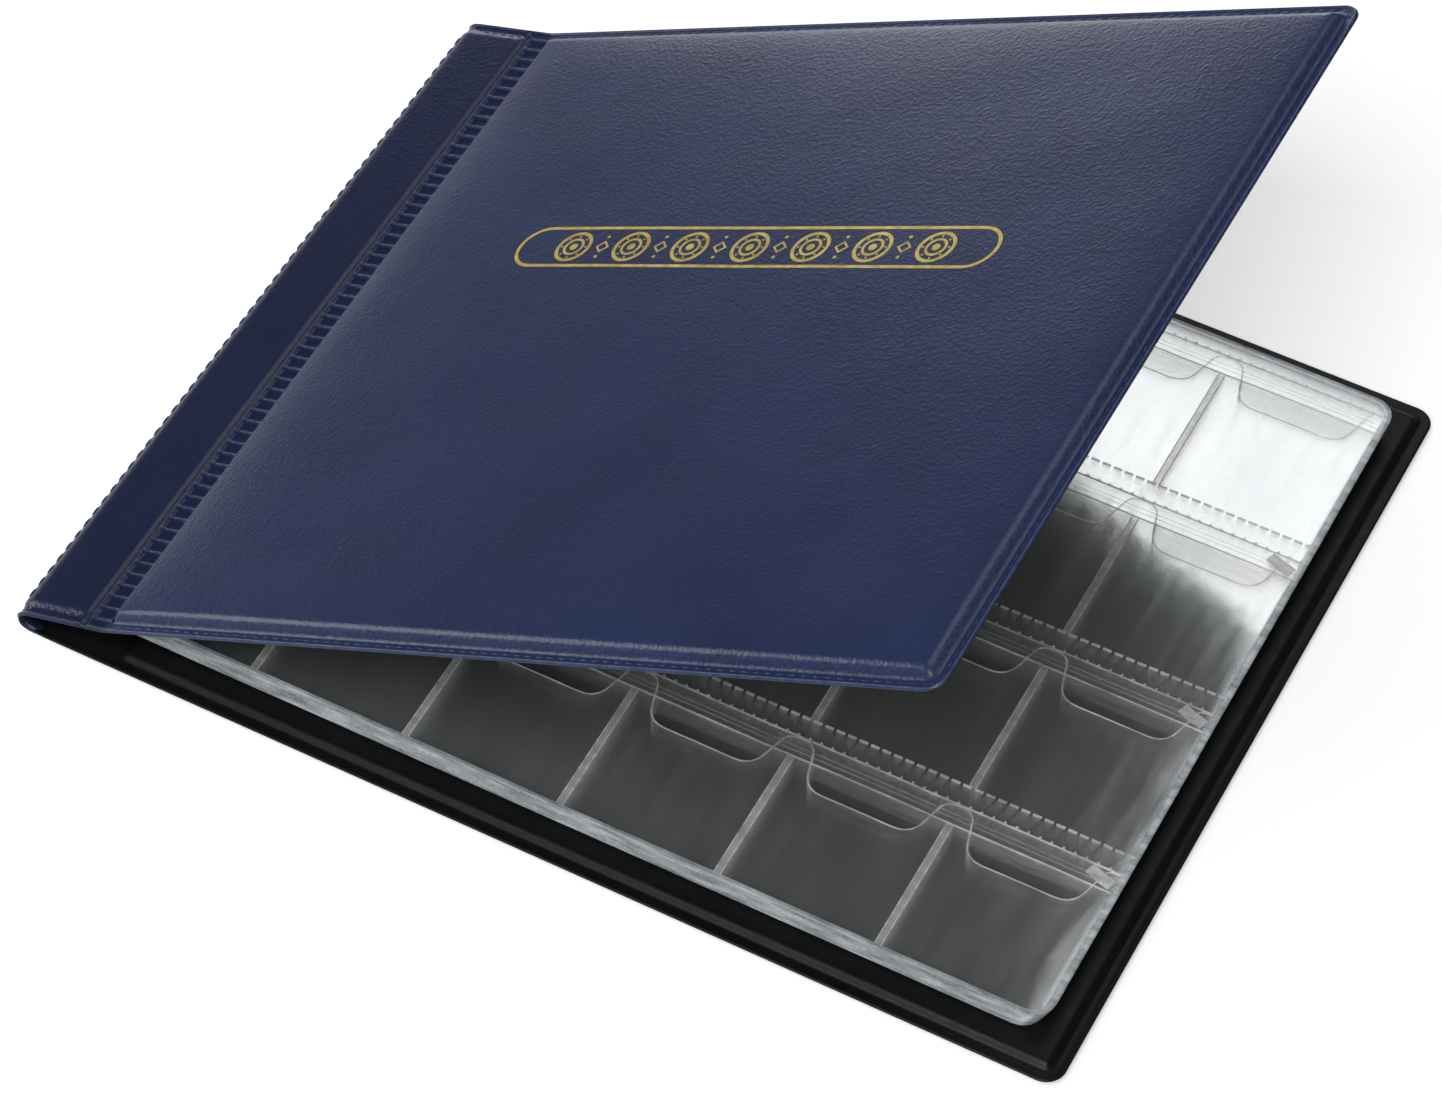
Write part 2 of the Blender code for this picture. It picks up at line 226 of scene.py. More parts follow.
class Shader:
    """A Principled material under construction, with short ways to add procedural nodes."""

    # The colour sockets of a Mix node, which share their names with its other kinds
    MIX_LOW, MIX_HIGH, MIXED = 6, 7, 2

    def __init__(self, name, **values):
        self.material = bpy.data.materials.new(name)
        self.material.use_nodes = True
        self.tree = self.material.node_tree
        self.surface = self.tree.nodes["Principled BSDF"]
        for socket, value in values.items():
            self.surface.inputs[socket.replace("_", " ")].default_value = value
        self.place = self.tree.nodes.new("ShaderNodeTexCoord").outputs["Object"]

    def node(self, kind, settings=None, **inputs):
        made = self.tree.nodes.new("ShaderNode" + kind)
        for key, value in (settings or {}).items():
            setattr(made, key, value)
        for socket, value in inputs.items():
            self.feed(made.inputs[socket.replace("_", " ")], value)
        return made

    def feed(self, socket, value):
        if isinstance(value, bpy.types.NodeSocket):
            self.tree.links.new(value, socket)
        else:
            socket.default_value = value

    def link(self, socket, value):
        self.feed(self.surface.inputs[socket], value)

    def stretched(self, scale):
        return self.node("Mapping", Vector=self.place, Scale=scale).outputs["Vector"]

    def noise(self, scale, detail=3.0, where=None):
        made = self.node("TexNoise", Vector=where or self.place, Scale=scale, Detail=detail)
        return made.outputs["Fac"]

    def cells(self, scale):
        made = self.node("TexVoronoi", {"feature": "SMOOTH_F1"}, Vector=self.place, Scale=scale)
        return made.outputs["Distance"]

    def ramp(self, value, low, high, start=0.3, end=0.7):
        """From colour low to colour high as value goes from start to end."""
        made = self.node("ValToRGB", Fac=value)
        for element, at, colour in zip(made.color_ramp.elements, (start, end), (low, high)):
            element.position = at
            element.color = (*colour, 1.0)
        return made.outputs["Color"]

    def level(self, value, low, high, start=0.3, end=0.7):
        """From low to high as value goes from start to end."""
        made = self.node("MapRange", Value=value)
        made.inputs["From Min"].default_value = start
        made.inputs["From Max"].default_value = end
        made.inputs["To Min"].default_value = low
        made.inputs["To Max"].default_value = high
        return made.outputs["Result"]

    def times(self, first, second):
        made = self.node("Math", {"operation": "MULTIPLY"})
        self.feed(made.inputs[0], first)
        self.feed(made.inputs[1], second)
        return made.outputs["Value"]

    def mix(self, amount, low, high):
        made = self.node("Mix", {"data_type": "RGBA"})
        self.feed(made.inputs["Factor"], amount)
        self.feed(made.inputs[self.MIX_LOW], low)
        self.feed(made.inputs[self.MIX_HIGH], high)
        return made.outputs[self.MIXED]

    def bump(self, height, strength, distance, under=None):
        made = self.node("Bump", Height=height, Strength=strength, Distance=distance)
        if under is not None:
            self.feed(made.inputs["Normal"], under)
        self.link("Normal", made.outputs["Normal"])
        return made.outputs["Normal"]


def make_navy():
    """Grained navy PVC: pebbled cells, a faint mottle, a lip and shoulder lighter from wear and painted
    highlight, and painted shade on the strip and fold.
    """
    skin = Shader("navy_pvc", IOR=1.44)
    base = skin.ramp(skin.noise(34.0, 4.0), (0.0090, 0.0180, 0.064), (0.0135, 0.0245, 0.084))
    wear_light_and_shade = skin.node("Attribute", {"attribute_name": "wear_highlight_and_shade"}).outputs["Fac"]
    # Rubbed wear and painted highlight: the lip and the pad's shoulder turn a lighter blue
    rub_and_highlight = skin.times(wear_light_and_shade, skin.level(skin.noise(900.0, 2.0), 0.10, 0.60, 0.35, 0.65))
    # Painted shade: the unpadded spine strip and the fold are darkened towards a deep navy
    base_with_painted_shade = skin.mix(skin.level(wear_light_and_shade, 0.55, 0.0, -1.0, 0.0), base, (0.002, 0.004, 0.022, 1.0))
    skin.link("Base Color", skin.mix(rub_and_highlight, base_with_painted_shade, (0.060, 0.085, 0.185, 1.0)))
    skin.link("Roughness", skin.level(skin.noise(260.0, 3.0), 0.305, 0.345, 0.2, 0.8))
    pebbles = skin.bump(skin.cells(1250.0), 0.38, 0.00020)
    creases = skin.bump(skin.noise(520.0, 3.0), 0.20, 0.00016, pebbles)
    skin.bump(skin.noise(60.0, 2.0), 0.10, 0.0006, creases)
    return skin.material


def make_lining():
    """Black vinyl with a satin face and an even, very fine texture."""
    face = Shader("black_lining", IOR=1.30)
    face.link("Base Color", face.ramp(face.noise(45.0), (0.0032, 0.0036, 0.0033), (0.0056, 0.0061, 0.0056)))
    face.link("Roughness", face.level(face.noise(300.0, 2.0), 0.34, 0.46))
    grain = face.bump(face.cells(2100.0), 0.16, 0.00010)
    face.bump(face.noise(90.0, 2.0), 0.10, 0.0005, grain)
    return face.material


def make_film():
    """Clear PVC film: nearly all light goes through, the rest meets a soft mirror with a trace of haze."""
    film = Shader("clear_film", Metallic=0.95, IOR=1.5)
    film.link("Base Color", film.ramp(film.noise(26.0, 4.0), (0.86, 0.89, 0.90), (0.94, 0.95, 0.95)))
    scuffs = film.noise(300.0, 5.0, film.stretched((1.0, 0.12, 1.0)))
    film.link("Roughness", film.level(scuffs, 0.05, 0.16))
    facing = film.node("LayerWeight", Blend=0.30).outputs["Facing"]
    film.link("Alpha", film.level(facing, 0.045, 0.55, 0.0, 1.0))
    film.bump(film.noise(55.0, 2.0), 0.12, 0.0007)
    return film.material


def make_weld(name, low, high, tint, shade=0.72):
    """Film that was pressed and welded: milky, streaked, and glossy on its ridges."""
    weld = Shader(name, Metallic=0.15, IOR=1.5)
    streaks = weld.noise(420.0, 4.0, weld.stretched((0.25, 1.0, 1.6)))
    weld.link("Base Color", weld.ramp(streaks, tuple(shade * channel for channel in tint), tint, 0.32, 0.68))
    weld.link("Alpha", weld.level(streaks, low, high, 0.35, 0.65))
    weld.link("Roughness", weld.level(weld.noise(700.0, 2.0), 0.14, 0.34))
    weld.bump(weld.noise(850.0, 3.0), 0.22, 0.00015)
    return weld.material


def make_gold():
    """Hot-stamped foil, a little uneven where it took the grain."""
    foil = Shader("gold_foil", Metallic=0.6)
    foil.link("Base Color", foil.ramp(foil.noise(420.0, 4.0), (0.56, 0.41, 0.08), (0.86, 0.68, 0.20)))
    foil.link("Roughness", foil.level(foil.noise(900.0, 3.0), 0.28, 0.48))
    foil.bump(foil.cells(1250.0), 0.30, 0.00012)
    return foil.material


def make_board():
    """Grey-brown chipboard with its fibres."""
    board = Shader("grey_board", Roughness=0.9)
    fibres = board.noise(500.0, 6.0, board.stretched((1.0, 0.2, 1.0)))
    board.link("Base Color", board.ramp(fibres, (0.26, 0.22, 0.17), (0.42, 0.36, 0.28)))
    board.bump(fibres, 0.35, 0.0002)
    return board.material


def make_foam():
    """Open-cell polyurethane foam."""
    foam = Shader("white_foam", Roughness=0.95)
    holes = foam.cells(1100.0)
    foam.link("Base Color", foam.ramp(holes, (0.50, 0.49, 0.44), (0.80, 0.78, 0.72), 0.1, 0.6))
    foam.bump(holes, 0.8, 0.0004)
    return foam.material


MATERIALS = {
    "navy": make_navy(),
    "lining": make_lining(),
    "film": make_film(),
    "weld": make_weld("welded_film", 0.45, 0.85, (0.90, 0.92, 0.92)),
    # The leaf edges' grey is partly the welded film's milky tint and partly painted shade in the gaps between
    # the stacked leaves
    "edge": make_weld("leaf_edge", 0.52, 0.88, (0.60, 0.66, 0.69), 0.60),
    "seam": make_weld("pocket_seam", 0.14, 0.24, (0.90, 0.93, 0.92), 0.86),
    "deep_weld": make_weld("welded_film_below", 0.04, 0.11, (0.80, 0.80, 0.72)),
    "deep_seam": make_weld("pocket_seam_below", 0.015, 0.04, (0.80, 0.82, 0.80)),
    "gold": make_gold(),
    "board": make_board(),
    "foam": make_foam(),
}
dict.fromkeys(("film", "weld", "edge", "seam", "deep_weld", "deep_seam"), "clear_pvc")


# ---------------------------------------------------------------- mesh tools


class Builder:
    """Collects points and faces, and makes one object of them."""

    def __init__(self):
        self.points = []
        self.faces = []
        self.kinds = []

    def add(self, points, faces, kind=0):
        start = len(self.points)
        self.points.extend(points)
        for face in faces:
            self.faces.append(tuple(corner + start for corner in face))
            self.kinds.append(kind)

    def grid(self, rows, kind=0):
        """Rows of points of equal length, joined by four-sided faces that look along row cross column."""
        across = len(rows[0])
        faces = []
        for i in range(len(rows) - 1):
            for j in range(across - 1):
                here = i * across + j
                faces.append((here, here + across, here + across + 1, here + 1))
        self.add([point for row in rows for point in row], faces, kind)

    def tube(self, loops, kind=0, closed=False):
        """A body through loops of equal length: capped at both ends, or joined end to start if closed.

        The loops turn anticlockwise as seen from where the body goes.
        """
        count = len(loops[0])
        points = [point for loop in loops for point in loop]
        faces = []
        if not closed:
            faces = [tuple(reversed(range(count))), tuple(range(len(points) - count, len(points)))]
        for row in range(len(loops) if closed else len(loops) - 1):
            here, after = row * count, (row + 1) % len(loops) * count
            for step in range(count):
                beside = (step + 1) % count
                faces.append((here + step, here + beside, after + beside, after + step))
        self.add(points, faces, kind)

    def make(self, name, *kinds, smooth_angle=50.0):
        mesh = bpy.data.meshes.new(name)
        mesh.from_pydata(self.points, [], self.faces)
        for kind in kinds:
            mesh.materials.append(MATERIALS[kind])
        mesh.polygons.foreach_set("material_index", self.kinds)
        mesh.update()
        mesh.shade_smooth()
        mesh.set_sharp_from_angle(angle=math.radians(smooth_angle))
        made = bpy.data.objects.new(name, mesh)
        bpy.context.scene.collection.objects.link(made)
        return made


def thicken(piece, thickness):
    """Gives a sheet its thickness, away from the side that its faces look to."""
    solidify = piece.modifiers.new("thickness", "SOLIDIFY")
    solidify.thickness = thickness
    solidify.offset = -1.0
    solidify.use_even_offset = False


def smoothstep(value, start, end):
    t = min(max((value - start) / (end - start), 0.0), 1.0)
    return t * t * (3.0 - 2.0 * t)


def peak(value, centre, width):
    return math.exp(-(((value - centre) / width) ** 2))


def spread(start, end, pitch):
    """Evenly spaced places from start to end, both included, about a pitch apart."""
    steps = max(1, round(abs(end - start) / pitch))
    return [start + (end - start) * step / steps for step in range(steps + 1)]


def merged(*groups):
    """All the places in order, without those closer than a twentieth of a millimetre to the last."""
    places = sorted(place for group in groups for place in group)
    kept = places[:1]
    for place in places[1:]:
        if place - kept[-1] > 0.05 * MM:
            kept.append(place)
    return kept


def ripple(x, y):
    """A smooth unevenness from -1 to 1 with a period of a few centimetres."""
    first = math.sin(x * 83.0 + 1.3) * math.sin(y * 71.0 + 0.4)
    second = math.sin(x * 131.0 + y * 57.0 + 2.1)
    third = math.sin(y * 163.0 - x * 48.0 + 0.7)
    return 0.5 * first + 0.3 * second + 0.2 * third


def beads(builder, path, length, width, height, pitch):
    """Low oval beads along a path of (point, way along it, way out of the surface)."""
    travelled = [0.0]
    for before, after in zip(path, path[1:]):
        travelled.append(travelled[-1] + (after[0] - before[0]).length)
    count = max(1, int(travelled[-1] / pitch))
    first = (travelled[-1] - (count - 1) * pitch) / 2
    at = 0
    for number in range(count):
        place = first + number * pitch
        while at < len(path) - 2 and travelled[at + 1] < place:
            at += 1
        share = (place - travelled[at]) / max(travelled[at + 1] - travelled[at], 1e-9)
        centre = path[at][0].lerp(path[at + 1][0], share)
        bead(builder, centre, path[at][1], path[at][2], length, width, height)


def bead(builder, centre, along, out, length, width, height):
    side = out.cross(along).normalized()
    loops = []
    for t, fat in ((-1.0, 0.25), (-0.72, 0.82), (0.0, 1.0), (0.72, 0.82), (1.0, 0.25)):
        loop = []
        for corner in range(6):
            angle = math.pi * corner / 3
            across = side * (math.cos(angle) * width / 2 * fat)
            loop.append(centre + along * (t * length / 2) + across + out * (math.sin(angle) * height * fat))
        loops.append(loop)
    builder.tube(loops)


# ---------------------------------------------------------------- case


class Half:
    """One half of the case: spine strip, ladder hinge and padded cover, in u, y and h."""

    def __init__(self, length, swell, lining_strip, lining_swell):
        self.length = length
        self.swell = swell
        self.lining_strip = lining_strip
        self.lining_swell = lining_swell

    def inset(self, u, y):
        """The distance from the nearest edge; the half is free on three sides."""
        return min(self.length - u, COVER_HALF - abs(y))

    def rounded(self, u, y):
        """Moves a point near one of the two free corners, so that the corner is round."""
        a, b = self.length - u, COVER_HALF - abs(y)
        apart = abs(a - b)
        radius = CORNER_RADIUS - min(a, b)
        if apart >= radius:
            return u, y
        lean = math.radians(45.0) * apart / radius
        angle = math.radians(225.0) + (lean if b < a else -lean)
        a = CORNER_RADIUS + radius * math.cos(angle)
        b = CORNER_RADIUS + radius * math.sin(angle)
        return self.length - a, math.copysign(COVER_HALF - b, y)

    def crown(self, u, y, most):
        """How far the pad swells over its flat: soon after every edge, and a little unevenly."""
        swell = 1.0
        for inside in (u - LADDER_END, self.length - u, COVER_HALF - y, COVER_HALF + y):
            swell *= 1.0 - math.exp(-max(inside - CROWN_START, 0.0) / CROWN_REACH)
        return most * swell * (0.90 + 0.10 * ripple(u, y))

    def full(self, u, y):
        """The outer face inside the rim: strip, ladder groove, pad."""
        strip = 1.0 - smoothstep(u, LADDER_START - 0.1 * MM, LADDER_START + 0.5 * MM)
        pad = smoothstep(u, LADDER_END - 0.3 * MM, LADDER_END + 2.4 * MM)
        pad_rise = PAD_HEIGHT - LADDER_FLOOR + self.crown(u, y, self.swell)
        return LADDER_FLOOR + strip * (STRIP_HEIGHT - LADDER_FLOOR) + pad * pad_rise

    def skin(self, u, y):
        return skin_height(self.inset(u, y), self.full(u, y))

    def lining(self, u, y):
        pad = smoothstep(u, LADDER_END, LADDER_END + 1.8 * MM)
        deep = LINING_PAD - self.lining_strip + self.crown(u, y, self.lining_swell)
        return -lining_height(self.inset(u, y), self.lining_strip + pad * deep)

    def wear_and_light(self, u, y):
        """Lighter on the lip and on the pad's shoulder (up to 1), from wear and painted highlight; painted
        shade on the strip before the cover (-1).
        """
        inset = self.inset(u, y)
        painted_strip_shade = 1.0 - smoothstep(u, LADDER_END - 0.5 * MM, LADDER_END + 1.5 * MM)
        lip, shoulder_rub_and_highlight = peak(inset, WEAR_AND_HIGHLIGHT_WIDTH, WEAR_AND_HIGHLIGHT_WIDTH), 0.45 * peak(inset, 4.3 * MM, 2 * WEAR_AND_HIGHLIGHT_WIDTH)
        return min(1.0, lip + shoulder_rub_and_highlight) - painted_strip_shade

    def lines(self, start=HALVES_MEET):
        """Places in u for the grid, close together at the ladder and at the free edge."""
        free = [self.length - inset * MM for inset in EDGE_INSETS]
        ladder = spread(HALVES_MEET, DENSE_END, DENSE_PITCH) + spread(DENSE_END, EASING_END, EASING_PITCH)
        strip = spread(start, HALVES_MEET, STRIP_PITCH) if start < HALVES_MEET else []
        return merged(strip, ladder, spread(EASING_END, free[-1], GRID_PITCH), free)

    def rows(self, lines, place, height):
        rows, wear_and_light = [], []
        for u in lines:
            rows.append([place(*self.rounded(u, y), height(u, y)) for y in lines_along_spine()])
            wear_and_light.append([self.wear_and_light(u, y) for y in lines_along_spine()])
        return rows, wear_and_light


def skin_height(inset, full):
    """The outer face at a distance from the edge: a thin lip, the welding groove, the shoulder up to full."""
    lip = LIP_HEIGHT * peak(inset, LIP_INSET, LIP_WIDTH)
    rim = (GROOVE_HEIGHT + lip) * smoothstep(inset, -0.12 * MM, 0.30 * MM)
    return rim + smoothstep(inset, RIM_WIDTH, SHOULDER_END + 0.5 * full) * (full - GROOVE_HEIGHT)


def lining_height(inset, full):
    """The lining's face at a distance from the edge: the same steps as the skin, lower and softer."""
    rim = LINING_RIM * smoothstep(inset, -0.1 * MM, 0.35 * MM) + 0.10 * MM * peak(inset, 0.6 * MM, 0.4 * MM)
    return rim + smoothstep(inset, RIM_WIDTH, SHOULDER_END + 0.5 * MM) * (full - LINING_RIM)


def lines_along_spine():
    """Places in y for a grid, close together at the rims."""
    near = [-COVER_HALF + inset * MM for inset in EDGE_INSETS]
    far = [COVER_HALF - inset * MM for inset in EDGE_INSETS]
    return merged(near, spread(near[-1], far[-1], GRID_PITCH), far)


def front_point(u, y, h):
    """A point of the front half: on the spine strip before the hinge, on the cover after it."""
    along, out = (STRIP_ALONG, STRIP_OUT) if u < 0.0 else (FRONT_ALONG, FRONT_OUT)
    return HINGE + along * u + out * h + Vector((0.0, y, 0.0))


def back_point(u, y, h):
    """A point of the back half, whose h grows downwards."""
    return Vector((BACK_ZERO_X + u, y, WELD_Z - h))


def bezier(points, t):
    """The point at t, from 0 to 1, on the cubic curve that four points govern."""
    a, b, c, d = points
    s = 1.0 - t
    return a * s**3 + b * (3 * s * s * t) + c * (3 * s * t * t) + d * t**3


def fold_curve(back_u, back_h, back_reach, strip_u, strip_h, strip_reach):
    """The section of the fold, from the back half round to the spine strip."""
    start = back_point(back_u, 0.0, back_h)
    end = front_point(strip_u, 0.0, strip_h)
    return (start, start - Vector((back_reach, 0.0, 0.0)), end - STRIP_ALONG * strip_reach, end)


def fold_frame(curve, t):
    """The point of the fold's section at t, and the way out of it."""
    ahead = bezier(curve, t + 0.01) - bezier(curve, t - 0.01)
    return bezier(curve, t), Vector((-ahead.z, 0.0, ahead.x)).normalized()


def fold_rows(curve, height, start_full, end_full):
    """Rows round the fold, thinning to the rims at both ends as the halves do."""
    rows, wear_and_light = [], []
    for step in range(1, FOLD_STEPS):
        t = step / FOLD_STEPS
        centre, out = fold_frame(curve, t)
        full = start_full + (end_full - start_full) * t
        row, wear_light_and_shade = [], []
        for y in lines_along_spine():
            inset = COVER_HALF - abs(y)
            row.append(centre + out * (height(inset, full) - full) + Vector((0.0, y, 0.0)))
            # Painted shade all round the fold; only the rubbed lip is left without it
            wear_light_and_shade.append(peak(inset, WEAR_AND_HIGHLIGHT_WIDTH, WEAR_AND_HIGHLIGHT_WIDTH) - 1.0)
        rows.append(row)
        wear_and_light.append(wear_light_and_shade)
    return rows, wear_and_light


BACK = Half(BACK_LENGTH, 0.0, LINING_STRIP_BACK, 0.35 * MM)
FRONT = Half(FRONT_LENGTH, PAD_CROWN, LINING_STRIP_FRONT, 0.10 * MM)
FOLD_BACK_U = FOLD_START_X - BACK_ZERO_X
FOLD_STRIP_U = 3.0 * MM - STRIP_LENGTH
LINING_BACK_U = FOLD_BACK_U - 3.0 * MM
LINING_STRIP_U = FOLD_STRIP_U + 0.5 * MM
SKIN_FOLD = fold_curve(FOLD_BACK_U, STRIP_HEIGHT, 8.6 * MM, FOLD_STRIP_U, STRIP_HEIGHT, 6.4 * MM)
LINING_FOLD = fold_curve(
    LINING_BACK_U, -LINING_STRIP_BACK, 4.8 * MM, LINING_STRIP_U, -LINING_STRIP_FRONT, 4.4 * MM
)


def case_sheet(name, kind, rows, wear_and_light, thickness):
    """A skin or a lining from rows of points, with its wear, painted highlight and painted shade stored for
    the material.
    """
    builder = Builder()
    builder.grid(rows)
    sheet = builder.make(name, kind, smooth_angle=80.0)
    attribute = sheet.data.attributes.new("wear_highlight_and_shade", "FLOAT", "POINT")
    attribute.data.foreach_set("value", [amount for row in wear_and_light for amount in row])
    thicken(sheet, thickness)
    return sheet


def back_and_fold(height, curve, start_u, end_u, start_full, end_full, strip_height):
    """Rows of the whole back half, from its free edge round the fold and up the strip."""
    back_rows, back_wear_and_light = BACK.rows(BACK.lines(start_u), back_point, height)
    fold_height = skin_height if start_full > 0 else lining_below
    turn_rows, turn_wear_and_light = fold_rows(curve, fold_height, start_full, end_full)
    strip_rows, strip_wear_and_light = FRONT.rows(spread(end_u, HALVES_MEET, STRIP_PITCH), front_point, strip_height)
    rows = back_rows[::-1] + turn_rows + strip_rows
    wear_and_light = back_wear_and_light[::-1] + turn_wear_and_light + strip_wear_and_light
    return rows, wear_and_light


def lining_below(inset, full):
    """The lining's face where full is given as a depth, below zero."""
    return -lining_height(inset, -full)


def make_skins():
    """The navy PVC: one sheet from the back cover to the ladder, one from there to the front's free edge."""
    rows, wear_and_light = back_and_fold(
        BACK.skin, SKIN_FOLD, FOLD_BACK_U, FOLD_STRIP_U, STRIP_HEIGHT, STRIP_HEIGHT, FRONT.skin
    )
    back = case_sheet("case_skin_back", "navy", rows, wear_and_light, SKIN_THICKNESS)
    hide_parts("back_cover_skin", "spine_fold_skin")
    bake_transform(back)
    rows, wear_and_light = FRONT.rows(FRONT.lines(), front_point, FRONT.skin)
    front = case_sheet("case_skin_front", "navy", rows, wear_and_light, SKIN_THICKNESS)
    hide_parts("front_cover_skin", "spine_skin")
    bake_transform(front)


def make_linings():
    """The black vinyl on the inside, in the same two sheets."""
    rows, wear_and_light = back_and_fold(
        BACK.lining,
        LINING_FOLD,
        LINING_BACK_U,
        LINING_STRIP_U,
        -LINING_STRIP_BACK,
        -LINING_STRIP_FRONT,
        FRONT.lining,
    )
    back = case_sheet("case_lining_back", "lining", rows[::-1], wear_and_light[::-1], LINING_THICKNESS)
    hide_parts("back_cover_lining", "spine_fold_lining")
    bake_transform(back)
    rows, wear_and_light = FRONT.rows(FRONT.lines(), front_point, FRONT.lining)
    front = case_sheet("case_lining_front", "lining", rows[::-1], wear_and_light[::-1], LINING_THICKNESS)
    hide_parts("front_cover_lining", "spine_lining")
    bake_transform(front)


def make_rungs(name, half, place):
    """The bars across the ladder groove, welded in between the strip and the cover."""
    builder = Builder()
    reach = COVER_HALF - 3.4 * MM
    start, end = LADDER_START + 0.1 * MM, LADDER_END + 0.5 * MM
    for y in spread(-reach, reach, RUNG_PITCH):
        loops = []
        for step in range(RUNG_STEPS + 1):
            t = step / RUNG_STEPS
            u = start + (end - start) * t
            crest = RUNG_HEIGHT * (0.75 + 0.25 * math.sin(math.pi * t))
            base = half.skin(u, y) - 0.05 * MM
            loop = []
            for side, rise in reversed(RUNG_SECTION):
                loop.append(place(u, y + side * RUNG_HALF_WIDTH, base + rise * crest))
            loops.append(loop)
        builder.tube(loops)
    return builder.make(name, "navy", smooth_angle=60.0)


def rim_path(half, place, inset, height):
    """A way round a cover's three free sides at an inset: (point, way along it, way out of the surface)."""
    u_far, y_far = half.length - inset, COVER_HALF - inset
    radius = CORNER_RADIUS - inset
    u_near, u_turn, y_turn = LADDER_END + 2.0 * MM, u_far - radius, y_far - radius
    turns = [math.radians(15.0 * step) for step in range(1, 6)]
    outline = [(u, -y_far) for u in spread(u_near, u_turn, PATH_PITCH)]
    outline += [(u_turn + radius * math.sin(turn), -y_turn - radius * math.cos(turn)) for turn in turns]
    outline += [(u_far, y) for y in spread(-y_turn, y_turn, PATH_PITCH)]
    outline += [(u_turn + radius * math.cos(turn), y_turn + radius * math.sin(turn)) for turn in turns]
    outline += [(u, y_far) for u in spread(u_turn, u_near, PATH_PITCH)]
    points = [place(u, y, height) for u, y in outline]
    out = (place(half.length / 2, 0.0, MM) - place(half.length / 2, 0.0, 0.0)).normalized()
    ways = [(after - before).normalized() for before, after in zip(points, points[1:])]
    return [(point, way, out) for point, way in zip(points, ways + ways[-1:])]


def make_stitches():
    """The moulded stitches: in the rims' grooves, on the strip's ends and along the fold."""
    for name, half, place, body in (
        ("rim_stitches_front", FRONT, front_point, "front_cover"),
        ("rim_stitches_back", BACK, back_point, "back_cover"),
    ):
        builder = Builder()
        path = rim_path(half, place, 1.75 * MM, GROOVE_HEIGHT + 0.02 * MM)
        beads(builder, path, length=2.2 * MM, width=0.55 * MM, height=0.16 * MM, pitch=STITCH_PITCH)
        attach(builder.make(name, "navy", smooth_angle=60.0), body)
    builder = Builder()
    for side in (-1.0, 1.0):
        y = side * (COVER_HALF - 3.3 * MM)
        path = []
        for u in spread(FOLD_STRIP_U + 1.0 * MM, LADDER_START - 1.2 * MM, PATH_PITCH):
            path.append((front_point(u, y, FRONT.skin(u, y)), STRIP_ALONG, STRIP_OUT))
        beads(builder, path, length=1.9 * MM, width=0.6 * MM, height=0.22 * MM, pitch=STRIP_STITCH_PITCH)
    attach(builder.make("strip_end_stitches", "navy", smooth_angle=60.0), "spine_panel")
    builder = Builder()
    centre, out = fold_frame(SKIN_FOLD, FOLD_STITCH_PLACE)
    reach = COVER_HALF - 3.6 * MM
    along = Vector((0.0, 1.0, 0.0))
    path = [(centre + along * y, along, out) for y in spread(-reach, reach, PATH_PITCH)]
    beads(builder, path, length=2.8 * MM, width=1.1 * MM, height=0.36 * MM, pitch=FOLD_STITCH_PITCH)
    stitches = builder.make("fold_stitches", "navy", smooth_angle=60.0)
    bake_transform(stitches)


def make_ladders():
    """The rungs beside the spine strip, and the matching ones on the back cover."""
    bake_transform(make_rungs("ladder_rungs_front", FRONT, front_point))
    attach(make_rungs("ladder_rungs_back", BACK, back_point), "back_cover")


def make_inner_layers():
    """The boards and the foam stay as the frame has them, under their own materials."""
    layers = {
        "board": ("back_cover_board", "front_cover_board", "spine_stiffener"),
        "foam": ("back_cover_foam", "front_cover_foam"),
    }
    for kind, names in layers.items():
        for name in names:
            data = frame["nodes"][name].data
            data.materials.clear()
            data.materials.append(MATERIALS[kind])


# ---------------------------------------------------------------- gold ornament


def foil_point(x, y, lift=0.0):
    """A point of the foil, x and y from the ornament's centre, on the crowned pad."""
    u, across = FOIL_U + x, FOIL_Y + y
    return front_point(u, across, FRONT.skin(u, across) + FOIL_LIFT + lift)


def foil_ring(builder, outline, width):
    """A flat closed band of foil along an outline, which it keeps on its outer side."""
    count = len(outline)
    loops = []
    for number in range(count):
        here, after, before = outline[number], outline[(number + 1) % count], outline[number - 1]
        way = Vector((after[0] - before[0], after[1] - before[1])).normalized()
        inner = (here[0] - way.y * width, here[1] + way.x * width)
        top = [foil_point(*here), foil_point(*inner)]
        loops.append([foil_point(*here, -FOIL_DEPTH), *top, foil_point(*inner, -FOIL_DEPTH)])
    builder.tube(loops, closed=True)


def circle(x, y, radius, steps):
    """The points of a circle; four steps make a lozenge."""
    turn = 2 * math.pi / steps
    return [(x + radius * math.cos(turn * step), y + radius * math.sin(turn * step)) for step in range(steps)]


def stadium(length, width, steps=14):
    """The points of a long outline with half-circles for ends, of so many steps each."""
    radius = width / 2
    reach = length / 2 - radius
    points = []
    for side in (1.0, -1.0):
        for step in range(steps + 1):
            angle = math.pi * step / steps - side * math.pi / 2
            points.append((side * reach + radius * math.cos(angle), radius * math.sin(angle)))
        points += [(side * reach * share, side * radius) for share in (0.66, 0.33, 0.0, -0.33, -0.66)]
    return points


